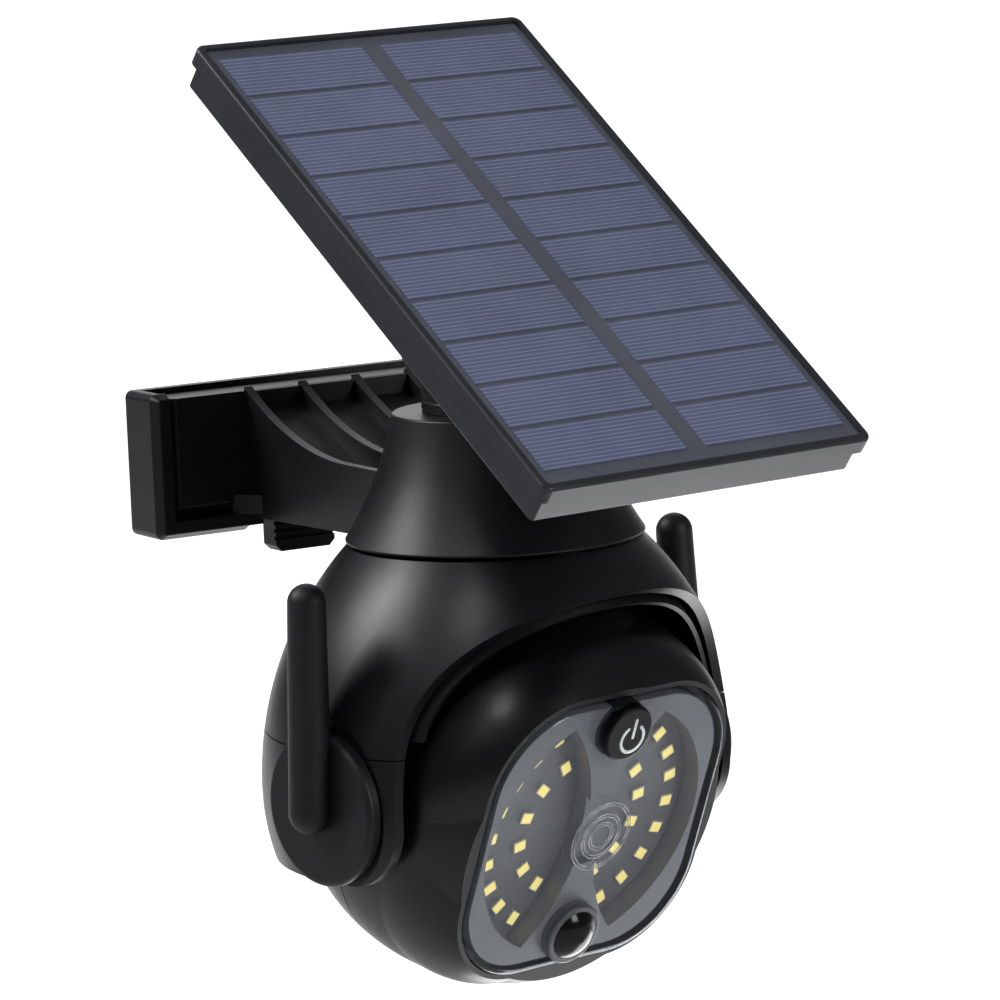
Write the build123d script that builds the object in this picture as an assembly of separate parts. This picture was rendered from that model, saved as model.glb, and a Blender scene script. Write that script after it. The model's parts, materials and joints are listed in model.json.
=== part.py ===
"""Solar security light in the shape of a PTZ camera, on a wall bracket.

Millimetres, +Z up.  The origin is the centre of the wall plate's back face, the wall is the
plane Y = 0, and the lamp stands out along -Y.  Every part is written in its own local frame:
NECK  foot of the vertical pan axis, in the plane of the seam under the neck
SHELL NECK turned by HEAD_PAN, BALL the tilt axis of the head, FACE the tilted head
TURN  NECK turned by PANEL_PAN, PANEL the hinge of the solar panel, SHEET the panel's own middle
"""
from build123d import *
import os
from math import atan2, cos, degrees, radians, sin, sqrt

os.makedirs("parts", exist_ok=True)

# ---- pose in which the parts are drawn ------------------------------------------------------
HEAD_PAN = 11.0
HEAD_TILT = 22.5
PANEL_PAN = 8.0
PANEL_TILT = 37.5

# ---- wall plate and arm ---------------------------------------------------------------------
REACH = 95.5            # wall to pan axis
SEAM_Z = -14.4          # seam under the neck, below the plate's centre
PLATE_L = 103.4
PLATE_H = 37.5
PLATE_T = 15.9
PLATE_WALL = 3.0
PLATE_LIP = 4.6         # rails that hold the arm's foot
LIP_T = 2.9
SCREW_X = 76.0          # distance between the two wall screws
SCREW_R = 2.25
FOOT_BACK = 5.0         # back face of the arm's foot, in front of the wall
FOOT_STEP = 12.95       # front face of the foot's edges, behind the lips
FOOT_FRONT = 15.0
FOOT_TOP = 17.3
LATCH_X = -6.3
LATCH_W = 17.4
LATCH_DROP = 7.6        # thumb tab below the plate
WEB_PITCH = 15.8
WEB_T = 2.4
ARM_BOTTOM = -1.0       # above the seam
WEB_ARC_R = 95.0
WEB_LOW_Y = 30.0        # lowest point of the webs' top edges, from the pan axis
WEB_LOW_Z = 17.7
FLOOR_T = 2.4
FLOOR_HIGH = 27.6       # sloping floor between the webs, at the foot
FLOOR_LOW_Y = 32.0
FLOOR_LOW_Z = 5.0

# ---- neck -----------------------------------------------------------------------------------
NECK_R = 37.1
NECK_TOP_R = 24.2
NECK_MID_R = 29.0
NECK_H = 32.0
NECK_WALL = 2.4
NECK_CROWN = 3.0        # thickness of the neck's top
SPIGOT_R = 8.0          # turntable's journal in the neck's top
SEAM_GAP = 0.5
HUB_R = 14.0            # hollow shaft that the shell turns on
HUB_WALL = 3.0
HUB_TOP = 9.0
BASE_SCREW_R = 26.0
RUN = 0.05              # radial clearance of a running fit

# ---- shell ----------------------------------------------------------------------------------
BALL_Z = -58.5          # tilt axis below the seam
SHELL_TOP_R = 36.7
SHELL_R = 60.5
SHELL_R_Z = -60.0       # level of the largest radius
SHELL_ARC_R = 87.0
BOWL_ARC_R = 57.0
SHELL_WALL = 2.6
SHELL_CUT = 18.6        # bottom edge below the tilt axis
SPLIT = 13.5            # parting plane of the shell above the tilt axis
LIP_H = 2.8             # locating lip of the bowl, above the parting plane
MOUTH_Y = 22.5          # straight sides of the mouth, in front of the pan axis
MOUTH_ARC_R = 39.5
MOUTH_ARC_Z = 13.0
CHEEK_R = 16.0
LINER_GAP = 1.7
LINER_T = 1.1
LINER_SHELF = -13.0     # underside of the liner's shelf
LINER_SCREW_R = 36.0

# ---- ears -----------------------------------------------------------------------------------
EAR_FLAT = 57.2         # flat of the recess, from the middle
EAR_FACE = 61.0
EAR_R = 19.0
RECESS_R = 22.0
ROD_X = 63.4
ROD_R = 5.3
ROD_TOP_R = 4.7
ROD_BOTTOM = -5.6
ROD_TOP = 56.0
LEAN_LEFT = 2.5         # left antenna leans a little forwards, the right one backwards
LEAN_RIGHT = -3.0
PIN_R = 5.0
BUSH_R = 8.0

# ---- head -----------------------------------------------------------------------------------
BALL_R = 53.0
BALL_WALL = 2.4
BALL_SCREWS = ((-30, 26), (30, 26), (-30, -26), (30, -26))
FACE_LIFT = 1.4         # centre of the face above the tilt axis
FACE_HALF = 37.8        # clear cover
FACE_CORNER = 23.0
RIM_FRONT = 33.4
COVER_FRONT = 35.2
COVER_T = 2.0
COVER_BACK = 28.6
BOARD_TOP = 27.4
BOARD_T = 1.6
LED_L = 3.5
LED_W = 2.8
LED_H = 0.8
LED_RINGS = ((29.2, 9, 15.0), (19.0, 6, 24.0))   # radius, count on each side, step in degrees
LED_FIRST = 30.0
WELL_R = 34.3
WAIST = 2.5
WAIST_R = 45.0
BUTTON_R = 7.4
BUTTON_Z = 29.1         # from the centre of the face
BUTTON_FRONT = 36.9
BUTTON_TRAVEL = 1.2
EYE_R = 6.6             # motion sensor's dome
EYE_Z = -28.6
EYE_RISE = 3.0          # dome's crown above the collar
COLLAR_R = 8.2
LENS_R = 9.4
LENS_T = 1.6            # boss of the lens behind the cover
LENS_RINGS = (9.4, 6.2, 3.9)

# ---- solar panel ----------------------------------------------------------------------------
HINGE_Z = 50.0          # tilt hinge above the seam
STEM_R = 16.8
WASHER_Z = NECK_H - NECK_CROWN - 0.2
WASHER_T = 1.2
CHEEK_X = 14.4          # outside of the fork
FORK_X = 9.4            # inside of the fork
LUG_X = 9.2
HINGE_R = 9.0
BOLT_R = 3.0
KNOB_R = 9.4
KNOB_X = 21.0
PANEL_W = 102.0
PANEL_L = 161.7
PANEL_TOP = 33.8        # top face above the hinge
PANEL_SHIFT = -2.6      # centre of the panel along its slope, from the hinge
PANEL_SIDE = -3.2       # centre of the panel along the hinge, from the middle of the fork
FRAME_T = 4.6
TRAY_T = 7.0
TRAY_INSET = 1.6
RIM_W = 1.9
RECESS = 1.0
BOARD_PANEL_T = 1.6
CELL_ROWS = 10
CELL_GAP = 1.3
CELL_STRIP = 6.0
CELL_T = 0.25
MARGIN_SIDE = 2.6
MARGIN_HIGH = 3.6
MARGIN_LOW = 4.8

NECK = Location((0, -REACH, SEAM_Z))
SHELL = NECK * Location((0, 0, 0), (0, 0, HEAD_PAN))
BALL = SHELL * Location((0, 0, BALL_Z))
FACE = BALL * Location((0, 0, 0), (HEAD_TILT, 0, 0))
TURN = NECK * Location((0, 0, 0), (0, 0, PANEL_PAN))
PANEL = TURN * Location((0, 0, HINGE_Z)) * Location((0, 0, 0), (PANEL_TILT, 0, 0))
SHEET = PANEL * Location((PANEL_SIDE, 0, 0))

parts = {}


# ---- helpers --------------------------------------------------------------------------------
def put(name, shape, frame=Location()):
    """Keep a finished part under its name, moved from its local frame to the object's."""
    solids = [s for s in shape.solids()]
    parts[name] = frame * (solids[0] if len(solids) == 1 else Compound(children=solids))


def block(x0, x1, y0, y1, z0, z1):
    """Box between two corners."""
    return Pos((x0 + x1) / 2, (y0 + y1) / 2, (z0 + z1) / 2) * Box(x1 - x0, y1 - y0, z1 - z0)


def rod_z(r, z0, z1, x=0.0, y=0.0):
    """Upright cylinder."""
    return Pos(x, y, (z0 + z1) / 2) * Cylinder(r, z1 - z0)


def rod_x(r, x0, x1, y=0.0, z=0.0):
    """Cylinder along X."""
    return Pos((x0 + x1) / 2, y, z) * Rot(0, 90, 0) * Cylinder(r, x1 - x0)


def rod_y(r, y0, y1, x=0.0, z=0.0):
    """Cylinder along Y."""
    return Pos(x, (y0 + y1) / 2, z) * Rot(90, 0, 0) * Cylinder(r, y1 - y0)


def spin(outline):
    """Solid of revolution about Z from a closed outline in the XZ plane."""
    return revolve(make_face(Plane.XZ * outline), Axis.Z)


def prism_x(outline, x0, x1):
    """Prism between two X levels; the outline lies in the plane of Y and Z."""
    return Pos(x0, 0, 0) * extrude(make_face(Plane.YZ * outline), amount=x1 - x0, dir=(1, 0, 0))


def slab(sketch, back, front):
    """Plate on the head's face: an XZ sketch between two distances ahead of the tilt axis."""
    return extrude(Plane.XZ.offset(back) * sketch, amount=front - back)


def face_square(half, corner):
    """Rounded square centred on the face."""
    return Pos(0, FACE_LIFT) * RectangleRounded(2 * half, 2 * half, corner)


def face_disc(r, z=0.0):
    return Pos(0, FACE_LIFT + z) * Circle(r)


def ring_points(count, radius, first):
    """Points evenly spaced on a circle, the first at an angle in degrees."""
    angles = [radians(first + 360 / count * k) for k in range(count)]
    return [(radius * cos(a), radius * sin(a)) for a in angles]


def screw_y(x, z, head_y, length, head_r=2.6, shank_r=1.3, head_h=1.8):
    """Screw along +Y with its head's outer face at head_y and a cross slot."""
    head = rod_y(head_r, head_y, head_y + head_h, x, z)
    head -= block(x - 1.6, x + 1.6, head_y, head_y + 0.9, z - 0.35, z + 0.35)
    head -= block(x - 0.35, x + 0.35, head_y, head_y + 0.9, z - 1.6, z + 1.6)
    return head + rod_y(shank_r, head_y + head_h, head_y + length, x, z)


def screw_z(x, y, head_z, length, head_r=2.6, shank_r=1.3, head_h=1.8):
    """Screw along +Z with its head's outer face at head_z, pointing down, and a cross slot."""
    head = rod_z(head_r, head_z, head_z + head_h, x, y)
    head -= block(x - 1.6, x + 1.6, y - 0.35, y + 0.35, head_z, head_z + 0.9)
    head -= block(x - 0.35, x + 0.35, y - 1.6, y + 1.6, head_z, head_z + 0.9)
    return head + rod_z(shank_r, head_z + head_h, head_z + length, x, y)


# ---- wall bracket ---------------------------------------------------------------------------
def wall_plate():
    """Channel that is open at the top; the arm's foot slides down behind its lips."""
    half = PLATE_L / 2
    low = -PLATE_H / 2
    high = PLATE_H / 2
    body = block(-half, half, -PLATE_T, 0, low, high)
    body = fillet(body.edges().filter_by(Axis.Y), 2.0)
    front_top = body.edges().filter_by(Axis.X).group_by(Axis.Y)[0].sort_by(Axis.Z)[-1]
    body = chamfer(front_top, 1.4, 2.6)
    body = fillet(body.edges().group_by(Axis.Y)[0].filter_by(Axis.X), 0.6)
    inner = half - PLATE_WALL
    body -= block(-inner, inner, -PLATE_T + LIP_T, -PLATE_WALL, low + 3.2, high + 1)
    window = half - PLATE_LIP
    body -= block(-window, window, -PLATE_T - 1, -PLATE_T + LIP_T + 1, low + PLATE_LIP, high + 1)
    body -= block(-26, 26, -PLATE_T - 1, -8, low - 1, low + PLATE_LIP)
    notch = LATCH_W / 2 + 2.6
    body -= block(LATCH_X - notch, LATCH_X + notch, -9, 1, low - 1, low + 22)
    for x in (-SCREW_X / 2, SCREW_X / 2):
        body -= rod_y(SCREW_R, -PLATE_WALL - 1, 1, x, 0)
        body -= Pos(x, -PLATE_WALL + 0.8, 0) * Rot(90, 0, 0) * Cone(SCREW_R, 4.2, 1.7)
    rung = block(LATCH_X - notch, LATCH_X + notch, -2.2, 0, low + 16, low + 22)
    return body + rung


def release_latch():
    """Spring tongue in the plate's notch: thin blade, rolled root, ribbed thumb tab below."""
    low = -PLATE_H / 2
    x0 = LATCH_X - LATCH_W / 2
    x1 = LATCH_X + LATCH_W / 2
    tongue = block(x0 + 2, x1 - 2, -4.4, -2.8, low + 1, low + 19)
    tongue += rod_x(1.1, x0 + 2, x1 - 2, -3.6, low + 19)
    tab = block(x0, x1, -9.4, -2.8, low - LATCH_DROP, low + 1)
    for k in range(3):
        z = low - LATCH_DROP + 3.0 + 2.0 * k
        tab -= block(x0 - 1, x1 + 1, -10, -8.6, z, z + 0.9)
    tab = chamfer(tab.edges().filter_by(Axis.Y).group_by(Axis.Z)[0], 1.6)
    return tongue + tab


def web_profile():
    """Side outline of the arm, in the plane of Y and Z from the pan axis."""
    y_foot = REACH - FOOT_FRONT + 0.6
    z_foot = WEB_LOW_Z + WEB_ARC_R - sqrt(WEB_ARC_R**2 - (y_foot - WEB_LOW_Y)**2)
    y_mid = (WEB_LOW_Y + y_foot) / 2
    z_mid = WEB_LOW_Z + WEB_ARC_R - sqrt(WEB_ARC_R**2 - (y_mid - WEB_LOW_Y)**2)
    edge = Polyline((y_foot, z_foot), (y_foot, ARM_BOTTOM), (12, ARM_BOTTOM + 1.8), (12, WEB_LOW_Z))
    edge += Line((12, WEB_LOW_Z), (WEB_LOW_Y, WEB_LOW_Z))
    return edge + ThreePointArc((WEB_LOW_Y, WEB_LOW_Z), (y_mid, z_mid), (y_foot, z_foot))


def neck_outline(shrink, z0, z1):
    """Closed outline of the bell, its side moved in by shrink, between two levels."""
    top = NECK_TOP_R - shrink
    mid = NECK_MID_R - shrink
    low = NECK_R - shrink
    mid_z = (z0 + z1) / 2
    side = ThreePointArc((low, z0), (mid, mid_z), (top, z1))
    return side + Polyline((top, z1), (0, z1), (0, z0), (low, z0))


def arm_bracket():
    """One moulding: foot, four webs with a sloping floor between them, and the bell neck."""
    bell = spin(neck_outline(0, 1.2, NECK_H))
    bell += rod_z(NECK_R, SEAM_GAP, 1.2)
    bell = fillet(bell.edges().group_by(Axis.Z)[0], 0.4)
    bell = fillet(bell.edges().group_by(Axis.Z)[-1], 0.5)
    web = web_profile()
    outer = 1.5 * WEB_PITCH
    arm = Part()
    for x in (-outer, -WEB_PITCH / 2, WEB_PITCH / 2, outer):
        arm += prism_x(web, x - WEB_T / 2, x + WEB_T / 2)
    y_foot = REACH - FOOT_FRONT + 0.6
    high = (y_foot, FLOOR_HIGH)
    under = (y_foot, FLOOR_HIGH - FLOOR_T)
    slope = Polyline(high, under, (FLOOR_LOW_Y, FLOOR_LOW_Z - FLOOR_T), (FLOOR_LOW_Y, FLOOR_LOW_Z), high)
    arm += prism_x(slope, -outer, outer)
    arm += block(-outer, outer, y_foot - 1.8, y_foot, ARM_BOTTOM, 31.6)
    shift = REACH
    z_low = -PLATE_H / 2 - SEAM_Z + PLATE_LIP + 0.1
    for side in (-1, 1):
        x = side * (outer + WEB_T / 2)
        gusset = Polyline((x, y_foot), (x + side * 5, y_foot), (x, y_foot - 7), (x, y_foot))
        arm += Pos(0, 0, z_low) * extrude(make_face(gusset), amount=5, dir=(0, 0, 1))
    arm -= rod_z(NECK_R - 0.4, -5, 1.3)
    z_top = FOOT_TOP - SEAM_Z
    wide = PLATE_L / 2 - PLATE_WALL - 0.3
    foot = block(-wide, wide, shift - FOOT_STEP, shift - FOOT_BACK, z_low, z_top)
    pad_x = PLATE_L / 2 - PLATE_LIP - 0.3
    pad = block(-pad_x, pad_x, shift - FOOT_FRONT, shift - FOOT_STEP, z_low, z_top)
    pad = chamfer(pad.edges().group_by(Axis.Y)[0].filter_by(Axis.Z), 2.0)
    pad = chamfer(pad.edges().group_by(Axis.Y)[0].filter_by(Axis.X).sort_by(Axis.Z)[0], 2.0, 3.4)
    foot += pad
    foot -= block(-36, 36, shift - FOOT_STEP + 2, shift, z_low + 3, z_top - 3)
    body = bell + (arm - spin(neck_outline(0.4, 1.2, NECK_H - 0.4))) + foot
    cavity = spin(neck_outline(NECK_WALL, 1.2, NECK_H - NECK_CROWN))
    body -= cavity + rod_z(NECK_R - NECK_WALL, SEAM_GAP - 1, 1.3)
    body -= rod_z(SPIGOT_R + RUN, NECK_H - 4, NECK_H + 1)
    posts = Part()
    for x, y in ring_points(3, BASE_SCREW_R, 30):
        posts += rod_z(3.6, 4.1, 18.0, x, y)
    body += posts & spin(neck_outline(0.6, 1.2, NECK_H))
    for x, y in ring_points(3, BASE_SCREW_R, 30):
        body -= rod_z(1.25, 3, 12, x, y)
    return body


def base_ring():
    """Plate that closes the bell from below; the shell's hub turns in its bore."""
    ring = rod_z(NECK_R, 1.2, 4.0) & spin(neck_outline(NECK_WALL + 0.1, 1.2, NECK_H - NECK_CROWN))
    ring -= rod_z(HUB_R + RUN, 0, 5)
    for x, y in ring_points(3, BASE_SCREW_R, 30):
        ring -= rod_z(1.45, 0, 5, x, y)
        ring -= rod_z(2.8, 0, 3.1, x, y)
    return ring


def base_screws():
    screws = Part()
    for x, y in ring_points(3, BASE_SCREW_R, 30):
        screws += screw_z(x, y, 1.3, 9.0, 2.6, 1.2)
    return screws


# ---- shell ----------------------------------------------------------------------------------
def shell_radius(z, shrink=0.0):
    """Radius of the shell at a level above the largest radius."""
    r = SHELL_ARC_R - shrink
    return SHELL_R - SHELL_ARC_R + sqrt(r**2 - (z - SHELL_R_Z)**2)


def shell_outline(shrink, z_top, z_low):
    """Closed outline of the shell: a long arc above the widest level and a short one below."""
    r_low = BOWL_ARC_R - shrink
    drop = z_low - SHELL_R_Z
    low_r = SHELL_R - BOWL_ARC_R + sqrt(r_low**2 - drop**2)
    low_mid = SHELL_R - BOWL_ARC_R + sqrt(r_low**2 - (drop / 2)**2)
    z_mid = (z_top + SHELL_R_Z) / 2
    widest = (SHELL_R - shrink, SHELL_R_Z)
    top = (shell_radius(z_top, shrink), z_top)
    side = ThreePointArc(top, (shell_radius(z_mid, shrink), z_mid), widest)
    side += ThreePointArc(widest, (low_mid, SHELL_R_Z + drop / 2), (low_r, z_low))
    return side + Polyline((low_r, z_low), (0, z_low), (0, z_top), top)


def mouth(arc_r, cheek, z_end):
    """Cutter for the mouth: everything ahead of the mouth's edge as seen from the side."""
    arc_y = -MOUTH_Y - MOUTH_ARC_R
    zc = BALL_Z + MOUTH_ARC_Z
    side_y = arc_y + arc_r
    mid = radians(45)
    edge = ThreePointArc((side_y, zc), (arc_y + arc_r * cos(mid), zc + arc_r * sin(mid)), (arc_y, zc + arc_r))
    edge += Polyline((arc_y, zc + arc_r), (-90, zc + arc_r), (-90, z_end), (side_y + cheek, z_end))
    turn = radians(45)
    zr = z_end + cheek
    bend = (side_y + cheek * (1 - cos(turn)), zr - cheek * sin(turn))
    edge += ThreePointArc((side_y + cheek, z_end), bend, (side_y, zr))
    edge += Line((side_y, zr), (side_y, zc))
    return prism_x(edge, -80, 80)


def shell_body():
    """Outer shell before it is split: hood, cheeks and rear bowl in one wall."""
    z_low = BALL_Z - SHELL_CUT
    z_top = -SEAM_GAP + 0.2
    body = spin(shell_outline(0, z_top, z_low))
    for side in (-1, 1):
        flat = rod_x(RECESS_R, EAR_FLAT, 70) if side > 0 else rod_x(RECESS_R, -70, -EAR_FLAT)
        body -= Pos(0, 0, BALL_Z) * flat
    cavity = spin(shell_outline(SHELL_WALL, z_top - 3.2, z_low - 1))
    for side in (-1, 1):
        pad = rod_x(RECESS_R - 3, 54.3, 70) if side > 0 else rod_x(RECESS_R - 3, -70, -54.3)
        cavity -= Pos(0, 0, BALL_Z) * pad
    body -= cavity
    body -= mouth(MOUTH_ARC_R, CHEEK_R, z_low - 0.01)
    for side in (-1, 1):
        body -= Pos(0, 0, BALL_Z) * rod_x(BUSH_R, side * 50 if side > 0 else -70, 70 if side > 0 else -50)
    return body


def shell_band(shrink, thick, z0, z1):
    """Band that follows the inside of the shell, between two levels."""
    deep = SHELL_R_Z - 10
    band = spin(shell_outline(shrink, -2, deep)) - spin(shell_outline(shrink + thick, -1, deep - 1))
    band &= block(-80, 80, -80, 80, z0, z1)
    band -= Pos(0, 0, BALL_Z) * rod_x(RECESS_R + 0.5, -80, 80)
    return band - mouth(MOUTH_ARC_R + 3, CHEEK_R, BALL_Z - 30)


def shell_parts():
    """Hood with its hub, and the rear bowl with both cheeks, split by a level plane."""
    body = shell_body()
    split_z = BALL_Z + SPLIT
    upper = body & block(-90, 90, -90, 90, split_z + 0.15, 10)
    lower = body & block(-90, 90, -90, 90, -120, split_z - 0.15)
    lower += shell_band(SHELL_WALL - 0.5, 1.9, split_z - 4, split_z - 0.15)
    lower += shell_band(SHELL_WALL + 0.1, 1.3, split_z - 0.2, split_z + LIP_H)
    upper += rod_z(HUB_R, -3.0, HUB_TOP)
    for x, y in ring_points(4, LINER_SCREW_R, 45):
        boss = rod_z(3.4, LINER_SHELF + LINER_T, -3.0, x, y) & spin(shell_outline(1.0, -1.0, BALL_Z))
        upper += boss
        upper -= rod_z(1.2, LINER_SHELF, -5.0, x, y)
    upper -= rod_z(HUB_R - HUB_WALL, -10, 12)
    for x, y in ring_points(3, HUB_R - HUB_WALL / 2, 90):
        upper -= rod_z(0.9, 2.0, 10, x, y)
    put("shell_hood", upper, SHELL)
    put("shell_bowl", lower, SHELL)


def pan_retainer():
    """Flanged sleeve over the hub that hangs the shell on the neck's base ring."""
    ring = rod_z(17.4, 4.1, HUB_TOP + 2.2) - rod_z(HUB_R + 0.02, 4, HUB_TOP)
    ring -= rod_z(HUB_R - HUB_WALL, 4, 12)
    for x, y in ring_points(3, HUB_R - HUB_WALL / 2, 90):
        ring -= rod_z(1.1, 8, 12, x, y)
    return ring


def retainer_screws():
    screws = Part()
    for x, y in ring_points(3, HUB_R - HUB_WALL / 2, 90):
        screw = screw_z(x, -y, -(HUB_TOP + 3.8), 8.0, 1.9, 0.9, 1.5)
        screws += Rot(180, 0, 0) * screw
    return screws


def hood_liner():
    """Second wall inside the hood; its front edge shows as the inner lip."""
    outer = SHELL_WALL + LINER_GAP
    wall = spin(shell_outline(outer, LINER_SHELF + LINER_T, BALL_Z - 10))
    wall -= spin(shell_outline(outer + LINER_T, LINER_SHELF, BALL_Z - 11))
    wall -= rod_z(LINER_SCREW_R - 4.6, LINER_SHELF - 1, 0)
    wall &= block(-80, 80, -80, 80, BALL_Z + SPLIT + LIP_H + 1.0, 0)
    wall -= Pos(0, 0, BALL_Z) * rod_x(RECESS_R - 2.5, -80, 80)
    wall -= mouth(MOUTH_ARC_R - 1.6, CHEEK_R, BALL_Z - 30)
    for x, y in ring_points(4, LINER_SCREW_R, 45):
        wall -= rod_z(1.45, -20, 0, x, y)
    return wall


def shell_screws():
    """Four screws through the liner's shelf up into the hood."""
    screws = Part()
    for x, y in ring_points(4, LINER_SCREW_R, 45):
        screws += screw_z(x, y, LINER_SHELF - 1.8, 8.4, 2.6, 1.2)
    return screws


def ear_cap(side):
    """Round cap in the cheek's recess, with a snap stub that turns in the bush."""
    disc = rod_x(EAR_R, EAR_FLAT + 0.3, EAR_FACE)
    disc = fillet(disc.edges().group_by(Axis.X)[-1], 1.6)
    disc += rod_x(6.5 - RUN, EAR_FLAT - 1.0, EAR_FLAT + 0.5)
    disc -= antenna_form()
    return disc if side > 0 else mirror(disc, Plane.YZ)


def antenna_form():
    """Upright tapered rod with a domed top and a round foot."""
    low = ROD_BOTTOM + ROD_R
    high = ROD_TOP - ROD_TOP_R
    outline = ThreePointArc((0, ROD_BOTTOM), (ROD_R * sin(radians(45)), low - ROD_R * cos(radians(45))), (ROD_R, low))
    outline += Line((ROD_R, low), (ROD_TOP_R, high))
    dome = (ROD_TOP_R * sin(radians(45)), high + ROD_TOP_R * cos(radians(45)))
    outline += ThreePointArc((ROD_TOP_R, high), dome, (0, ROD_TOP))
    outline += Line((0, ROD_TOP), (0, ROD_BOTTOM))
    return Pos(ROD_X, 0, 0) * spin(outline)


def antenna(side):
    rod = antenna_form()
    return rod if side > 0 else mirror(rod, Plane.YZ)


def tilt_bushes():
    """Two plastic bushes pressed into the cheeks."""
    one = rod_x(BUSH_R, 54.5, EAR_FLAT) - rod_x(PIN_R + RUN, 50, 70)
    one -= rod_x(6.5, EAR_FLAT - 1.2, 70)
    return Compound(children=[one.solid(), mirror(one, Plane.YZ).solid()])


# ---- head -----------------------------------------------------------------------------------
def dome(r, boss_half, corner, front):
    """Front half of the ball: a hemisphere that swells into a rounded square at the front."""
    half = Sphere(r) & block(-80, 80, -front, 0, -80, 80)
    y_root = 12.0
    root_r = sqrt(r**2 - y_root**2) - 0.6
    sections = [Plane.XZ.offset(y_root) * RectangleRounded(2 * root_r, 2 * root_r, root_r - 1.0)]
    mid_y = (y_root + front) / 2 + 1.0
    mid_r = 0.5 * (root_r + boss_half) + 1.7
    lift = FACE_LIFT / 2
    middle = Pos(0, lift) * RectangleRounded(2 * mid_r, 2 * mid_r, 0.5 * (root_r - 1.0 + corner) + 2)
    sections.append(Plane.XZ.offset(mid_y) * middle)
    sections.append(Plane.XZ.offset(front) * face_square(boss_half, corner))
    return half + loft(sections)


def ball_front():
    rim = FACE_HALF + 1.5
    outer = dome(BALL_R, rim, FACE_CORNER + 1.5, RIM_FRONT)
    seat = BOARD_TOP - BOARD_T
    inner = dome(BALL_R - BALL_WALL, FACE_HALF - 1.0, FACE_CORNER, seat - 2.4)
    body = outer - inner
    body -= slab(face_square(FACE_HALF + 0.2, FACE_CORNER + 0.2), COVER_BACK - 2.0, 50)
    body -= slab(face_square(FACE_HALF - 2.6, FACE_CORNER - 2.6), seat, 50)
    return body - slab(face_square(FACE_HALF - 5.0, FACE_CORNER - 5.0), seat - 6, 50)


def ball_rear():
    shell = Sphere(BALL_R) - Sphere(BALL_R - BALL_WALL)
    shell &= block(-80, 80, 0.3, 80, -80, 80)
    for x, z in BALL_SCREWS:
        post = rod_y(3.6, 0.3, 30, x, z) & Sphere(BALL_R - 1.0)
        shell += post
        shell -= rod_y(3.0, 12.0, 60, x, z)
        shell -= rod_y(1.5, 0, 20, x, z)
    shell -= rod_x(PIN_R, -60, 60)
    return shell


def front_with_posts():
    """Front half with the screw posts that meet the rear half's, and the main board's shelves."""
    body = ball_front()
    for x, z in BALL_SCREWS:
        lean = degrees(atan2(z, x))
        rib = Rot(0, -lean, 0) * block(40, 56, -16, -0.05, -1.0, 1.0)
        post = rod_y(3.6, -16.0, -0.05, x, z) + (rib & Sphere(BALL_R - 1.0))
        body += post - rod_y(1.2, -10, 1, x, z)
    shelves = block(22.5, 52, -10.4, -8.4, 14, 18) + block(22.5, 52, -10.4, -8.4, -18, -14)
    shelves &= Sphere(BALL_R - 1.0)
    body += shelves + mirror(shelves, Plane.YZ)
    body -= rod_x(PIN_R, -60, 60)
    return body & block(-80, 80, -80, -0.05, -80, 80)


def ball_screws():
    screws = Part()
    for x, z in BALL_SCREWS:
        screws += mirror(screw_y(x, z, -13.9, 20.0, 2.6, 1.2), Plane.XZ)
    return screws


def tilt_pins():
    """Two stub axles clamped between the halves of the ball."""
    one = rod_x(PIN_R, 46.0, EAR_FLAT - 1.6) + (rod_x(8.0, 44.0, 46.0) - rod_x(2.5, 43, 60))
    one -= rod_x(2.5, 43, 60)
    return Compound(children=[one.solid(), mirror(one, Plane.YZ).solid()])


def clear_cover():
    """Clear cap: flat front with a rolled edge, a skirt, and the moulded rings of the lens."""
    cap = slab(face_square(FACE_HALF, FACE_CORNER), COVER_BACK, COVER_FRONT)
    front_edges = cap.faces().sort_by(Axis.Y)[0].edges()
    cap = fillet(front_edges, 2.2)
    cap -= slab(face_square(FACE_HALF - COVER_T, FACE_CORNER - COVER_T), COVER_BACK - 1, COVER_FRONT - COVER_T)
    cap += slab(face_disc(LENS_R), COVER_FRONT - COVER_T - LENS_T, COVER_FRONT + 0.5)
    for r in LENS_RINGS:
        cap += slab(face_disc(r) - face_disc(r - 0.8), COVER_FRONT + 0.4, COVER_FRONT + 1.1)
    cap -= slab(face_disc(BUTTON_R + 0.35, BUTTON_Z), 20, 50)
    cap -= slab(face_disc(COLLAR_R + 0.1, EYE_Z), 20, 50)
    return cap


def face_mask():
    """Grey frame behind the cover: a rim and an hourglass between two wells."""
    half = FACE_HALF - COVER_T - 0.3
    plate = face_square(half, FACE_CORNER - COVER_T)
    for side in (-1, 1):
        well = face_disc(WELL_R) & (Pos(side * (WAIST + WAIST_R), FACE_LIFT) * Circle(WAIST_R))
        plate -= well
    inside = COVER_FRONT - COVER_T
    body = slab(plate, BOARD_TOP + 0.1, inside - 0.1)
    body -= slab(face_disc(LENS_R + 0.2), inside - LENS_T - 0.1, inside)
    body -= slab(face_disc(BUTTON_R + 0.35, BUTTON_Z), 20, 50)
    body -= slab(face_disc(COLLAR_R + 0.1, EYE_Z), 20, 50)
    return body


def led_board():
    half = FACE_HALF - 2.8
    board = slab(face_square(half, FACE_CORNER - 2.8), BOARD_TOP - BOARD_T, BOARD_TOP)
    board -= slab(face_disc(5.0, BUTTON_Z), 20, 50)
    board -= slab(face_disc(5.2, EYE_Z), 20, 50)
    return board


def led_places():
    """Radius and angle from the top for each emitter, both sides."""
    places = []
    for radius, count, step in LED_RINGS:
        for k in range(count):
            for side in (-1, 1):
                places.append((radius, side * (LED_FIRST + step * k)))
    return places


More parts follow.
